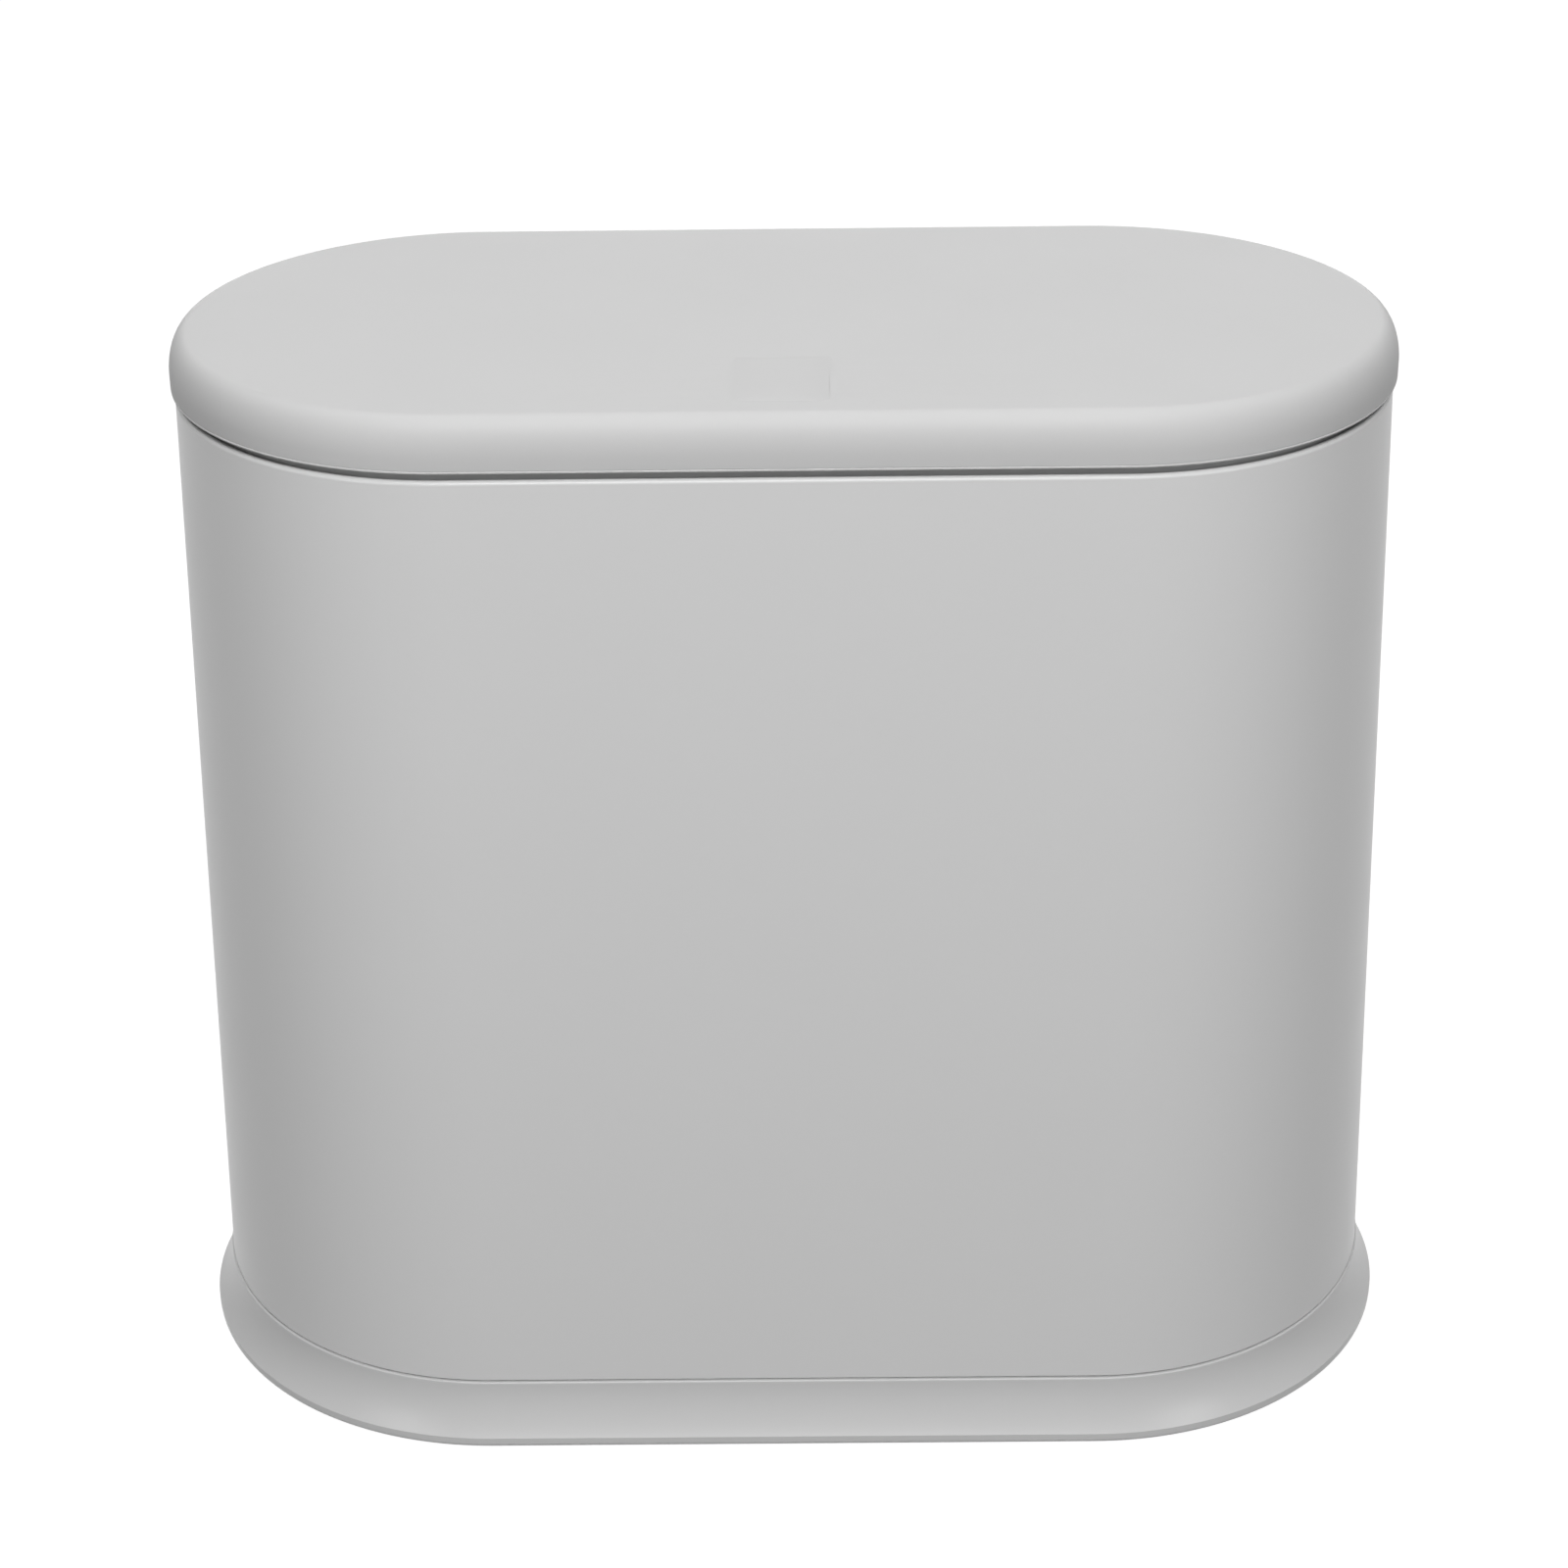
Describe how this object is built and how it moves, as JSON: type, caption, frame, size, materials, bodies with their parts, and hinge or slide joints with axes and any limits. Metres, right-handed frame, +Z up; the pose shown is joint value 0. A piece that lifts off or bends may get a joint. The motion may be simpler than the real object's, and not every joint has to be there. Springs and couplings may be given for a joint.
{
  "type": "push top countertop bin",
  "caption": "Small obround countertop bin with a flared base and a press-to-open hinged lid on a lift-off top frame.",
  "frame": {"origin": "middle of the footprint, on the surface the feet stand on", "axes": "+Z up, +X along the bin's length, -Y is the front where the lid is pressed"},
  "size_m": [0.214, 0.11, 0.188],
  "materials": {
    "body_plastic": "satin",
    "lid_plastic": "fine matt",
    "frame_plastic": "matt",
    "foot_rubber": "matt",
    "latch_plastic": "smooth",
    "magnet_nickel": "nickel plated",
    "striker_steel": "zinc plated",
    "spring_steel": "bright wire",
    "screw_steel": "zinc plated"
  },
  "bodies": {
    "bin": {"body_shell": "body_plastic", "base_plinth": "body_plastic", "foot_1": "foot_rubber", "foot_2": "foot_rubber", "foot_3": "foot_rubber", "foot_4": "foot_rubber", "base_screw_1": "screw_steel", "base_screw_2": "screw_steel", "base_screw_3": "screw_steel", "base_screw_4": "screw_steel"},
    "frame": {"top_frame": "frame_plastic", "latch_housing": "latch_plastic", "latch_clip": "latch_plastic", "latch_spring": "spring_steel", "latch_screw_1": "screw_steel", "latch_screw_2": "screw_steel", "torsion_spring_left": "spring_steel", "torsion_spring_right": "spring_steel"},
    "follower": {"cam_follower": "spring_steel"},
    "latch_and_pins": {"latch_plunger": "latch_plastic", "latch_magnet": "magnet_nickel", "hinge_pin_left": "screw_steel", "hinge_pin_right": "screw_steel"},
    "lid": {"lid_cover": "lid_plastic", "lid_liner": "frame_plastic", "striker_plate": "striker_steel", "striker_screw_1": "screw_steel", "striker_screw_2": "screw_steel", "liner_screw_1": "screw_steel", "liner_screw_2": "screw_steel", "liner_screw_3": "screw_steel", "liner_screw_4": "screw_steel"}
  },
  "joints": [
    {"name": "frame_lift", "type": "slide", "parent": "bin", "child": "frame", "axis": [0, 0, 1], "range_m": [0, 0.06]},
    {"name": "lid_press", "type": "hinge", "parent": "frame", "child": "latch_and_pins", "pos_m": [0, 0.0434, 0.1824], "axis": [-1, 0, 0], "range_deg": [-0.78, 4.5], "stiffness_Nm_per_rad": 20, "deforming": ["latch_spring"]},
    {"name": "lid_open", "type": "hinge", "parent": "latch_and_pins", "child": "lid", "pos_m": [0, 0.0434, 0.1824], "axis": [-1, 0, 0], "range_deg": [0, 75]},
    {"name": "cam_sway", "type": "hinge", "parent": "frame", "child": "follower", "pos_m": [0.00359, -0.03691, 0.1559], "axis": [1, 0, 0], "range_deg": [-0.55, 2.9]}
  ],
  "couplings": [
    {"joint": "cam_sway", "follows": "lid_press", "ratio": 0.62222}
  ]
}
